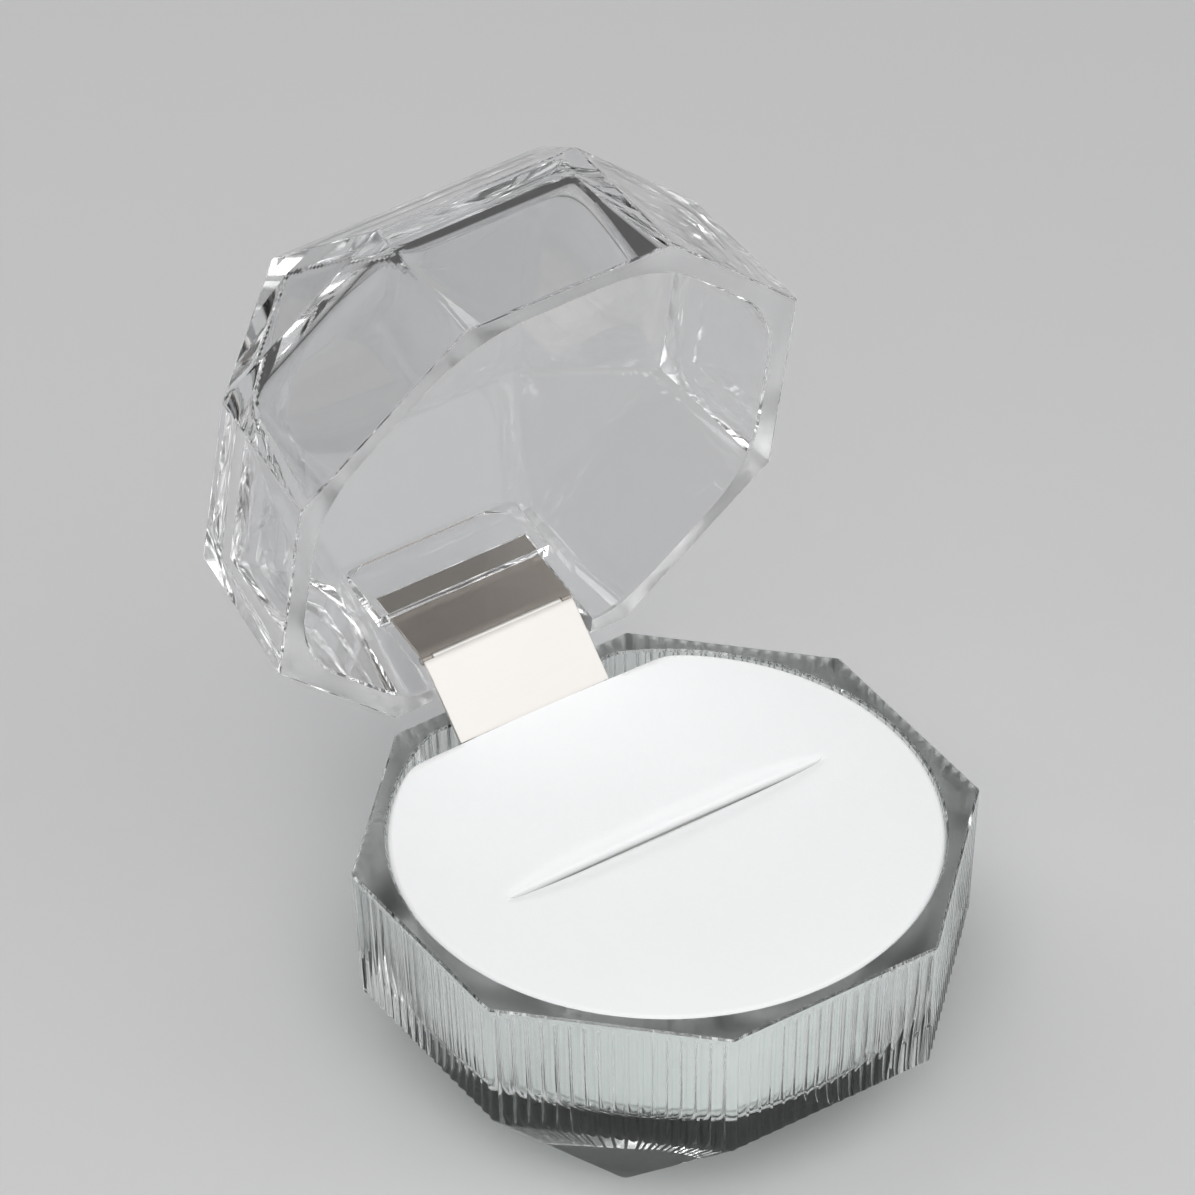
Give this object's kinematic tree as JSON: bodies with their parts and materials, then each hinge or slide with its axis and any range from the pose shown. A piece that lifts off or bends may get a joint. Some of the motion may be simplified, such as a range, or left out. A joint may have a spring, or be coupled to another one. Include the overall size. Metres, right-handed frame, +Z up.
{
  "type": "ring display box",
  "caption": "Clear octagonal ring box with a fluted base, faceted foot and crowned lid, swung open on a metal hinge over a white slit pad.",
  "frame": {"origin": "centre of the underside of the square foot", "axes": "+Z up, +Y from the front towards the hinge side, +X to the right seen from the front"},
  "size_m": [0.04, 0.0551, 0.0586],
  "materials": {
    "clear_acrylic": "clear, polished mould surface",
    "foam": "white foam",
    "flocking": "white short flock, matt",
    "band_steel": "satin plated sheet",
    "hinge_steel": "plated steel"
  },
  "bodies": {
    "base": {"base_shell": "clear_acrylic", "pad_foam": "foam", "pad_cover": "flocking", "hinge_base_leaf": "hinge_steel", "hinge_pin": "hinge_steel"},
    "lid": {"lid_shell": "clear_acrylic", "hinge_lid_leaf": "hinge_steel", "cover_plate": "band_steel", "stay_pin": "hinge_steel"},
    "stay": {"stay_plate": "band_steel"}
  },
  "joints": [
    {"name": "lid_swing", "type": "hinge", "parent": "base", "child": "lid", "pos_m": [0, 0.0195, 0.0187], "axis": [1, 0, 0], "range_deg": [0, 79]},
    {"name": "stay_swing", "type": "hinge", "parent": "lid", "child": "stay", "pos_m": [0, 0.02069, 0.02141], "axis": [1, 0, 0], "range_deg": [-32.4, 0]}
  ],
  "couplings": [
    {"joint": "stay_swing", "follows": "lid_swing", "ratio": -0.41}
  ]
}
